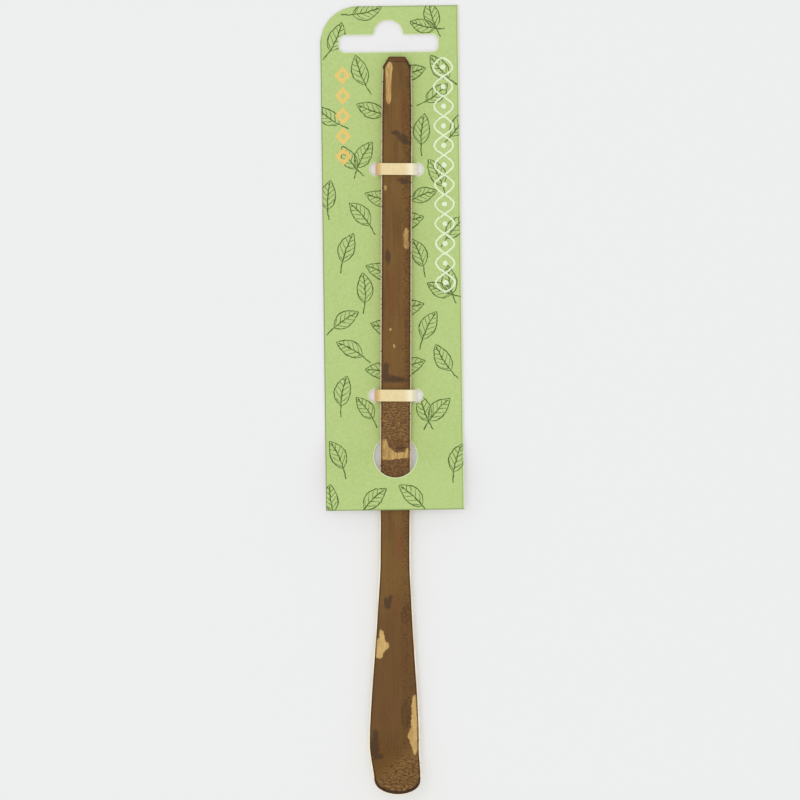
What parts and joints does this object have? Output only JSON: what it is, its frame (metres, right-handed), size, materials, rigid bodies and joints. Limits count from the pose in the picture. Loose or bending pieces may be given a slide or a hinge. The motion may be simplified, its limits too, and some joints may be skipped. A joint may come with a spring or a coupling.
{
  "type": "tea scoop",
  "caption": "Slender bamboo tea scoop with a flared, upturned bowl, held by thin bands on a slotted hang card and passed through the card's round hole.",
  "frame": {"origin": "under the bands' undersides, half way along the object, on the scoop's centre line", "axes": "+Z out of the card's front, +Y towards the hang slot and the handle's end, -Y towards the bowl, +X to the right seen from the front"},
  "size_m": [0.0357, 0.1932, 0.012],
  "materials": {
    "bamboo": "smoked brown bamboo skin, satin",
    "card": "matt printed card",
    "band": "smooth elastic strip, satin"
  },
  "bodies": {
    "carrier": {"hang_card": "card", "upper_band": "band", "lower_band": "band"},
    "scoop": {"scoop": "bamboo"}
  },
  "joints": [
    {"name": "scoop_pull", "type": "slide", "parent": "carrier", "child": "scoop", "axis": [0, -1, 0], "range_m": [0, 0.112]}
  ]
}
